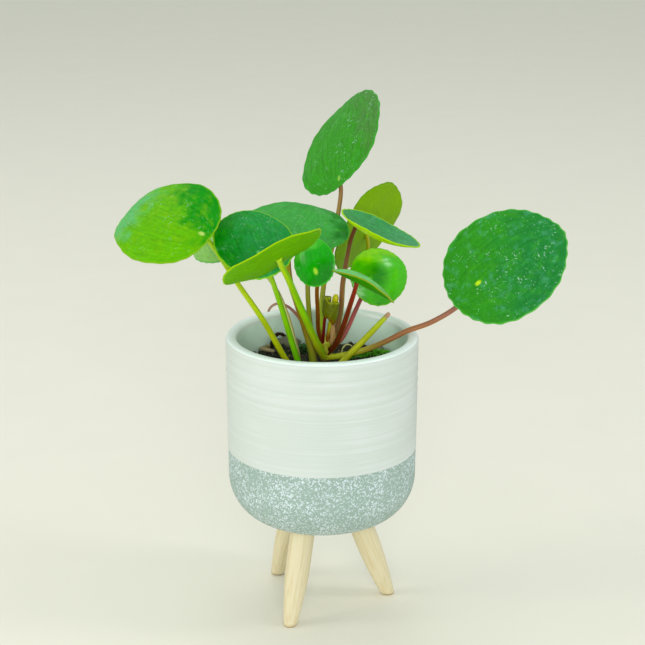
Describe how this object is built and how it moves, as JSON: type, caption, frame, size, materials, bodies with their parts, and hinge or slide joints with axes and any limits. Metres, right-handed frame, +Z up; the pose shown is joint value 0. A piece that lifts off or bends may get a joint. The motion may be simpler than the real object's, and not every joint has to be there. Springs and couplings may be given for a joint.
{
  "type": "potted pilea plant",
  "caption": "Potted pilea with round leaves on long stalks from a short stem, in a round ceramic pot on splayed wooden legs.",
  "frame": {"origin": "on the floor, under the middle of the plant's bounding box", "axes": "+Z up out of the pot, +X towards the leaf that stands out to the right, -Y towards the viewer"},
  "size_m": [0.2308, 0.1732, 0.2635],
  "materials": {
    "pot_ceramic": "matt white glaze with fine throwing lines above, grey-green body with white flecks below",
    "leg_wood": "pale turned wood, unpolished",
    "soil": "dark damp potting soil, grainy",
    "pebble": "dull grey stone",
    "dry_litter": "dry dark brown",
    "pale_litter": "dry straw colour",
    "stem_bark": "brown-green bark with leaf scars",
    "stalk_green": "smooth juicy yellow-green",
    "stalk_brown": "smooth olive to brown",
    "stalk_red": "smooth red-brown",
    "leaf_young": "satin olive-brown",
    "leaf_bright": "satin bright green",
    "leaf_green": "satin mid green with fine pale specks",
    "leaf_olive": "matt yellow-green underside",
    "leaf_glaucous": "satin grey-green with a pale bloom"
  },
  "bodies": {
    "root": {"pot": "pot_ceramic", "leg_front": "leg_wood", "leg_right": "leg_wood", "leg_back": "leg_wood", "soil": "soil", "pebble": "pebble", "litter_curl": "dry_litter", "tendril": "pale_litter", "stem": "stem_bark", "stalk_left": "stalk_green", "stalk_inner_left": "stalk_green", "stalk_pale": "stalk_green", "stalk_front": "stalk_green", "stalk_back": "stalk_brown", "stalk_small": "stalk_brown", "stalk_top": "stalk_green", "stalk_inner_right": "stalk_brown", "stalk_back_right": "stalk_green", "stalk_domed": "stalk_red", "stalk_folded": "stalk_red", "stalk_right": "stalk_red", "stalk_cut": "stalk_green", "stalk_bare": "stalk_green", "stalk_drooping": "stalk_red", "stalk_young": "stalk_red", "bud": "stalk_green", "leaf_young": "leaf_young", "leaf_left": "leaf_bright", "leaf_inner_left": "leaf_green", "leaf_back": "leaf_green", "leaf_front": "leaf_olive", "leaf_small": "leaf_bright", "leaf_top": "leaf_green", "leaf_inner_right": "leaf_green", "leaf_back_right": "leaf_olive", "leaf_pale": "leaf_glaucous", "leaf_domed": "leaf_bright", "leaf_folded": "leaf_green", "leaf_right": "leaf_green"}
  },
  "joints": []
}
